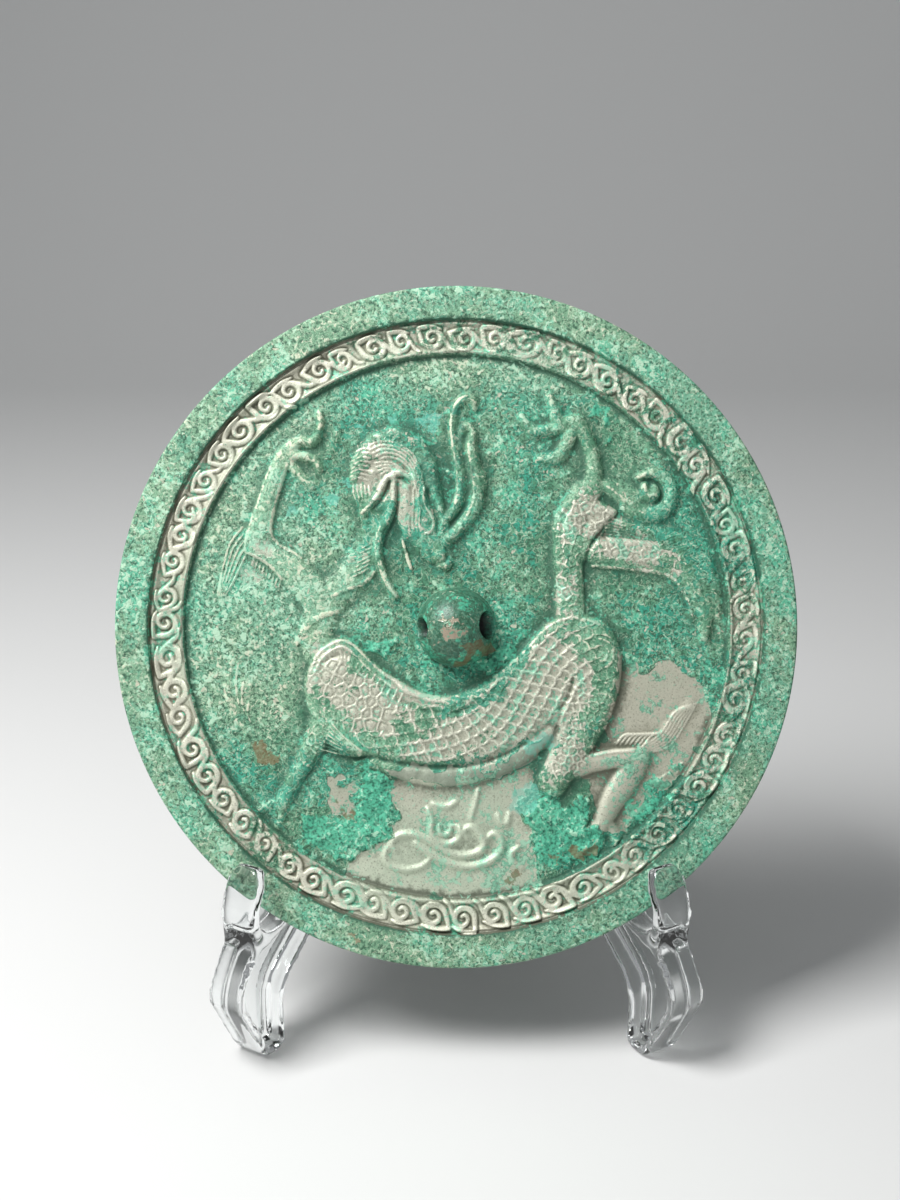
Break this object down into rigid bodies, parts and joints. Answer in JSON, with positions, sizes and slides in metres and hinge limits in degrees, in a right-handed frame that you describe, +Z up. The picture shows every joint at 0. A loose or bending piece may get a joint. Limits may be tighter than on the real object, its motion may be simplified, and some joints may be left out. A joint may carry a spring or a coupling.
{
  "type": "ancient bronze mirror",
  "caption": "Round cast bronze mirror, its back carved with a dragon inside a scroll band, pierced knob in the middle, leaning in a clear plastic easel stand.",
  "frame": {"origin": "middle of the bounding box's footprint, on the surface that the stand's feet rest on", "axes": "+Z up; the carved side of the mirror faces -Y and leans back towards +Y; +X to the right seen from the front"},
  "size_m": [0.2, 0.1268, 0.2197],
  "materials": {
    "bronze": "matt green copper patina over worn grey-brown bronze",
    "clear_plastic": "clear glossy moulded plastic"
  },
  "bodies": {
    "root": {"bronze_mirror": "bronze", "clear_stand": "clear_plastic"}
  },
  "joints": []
}
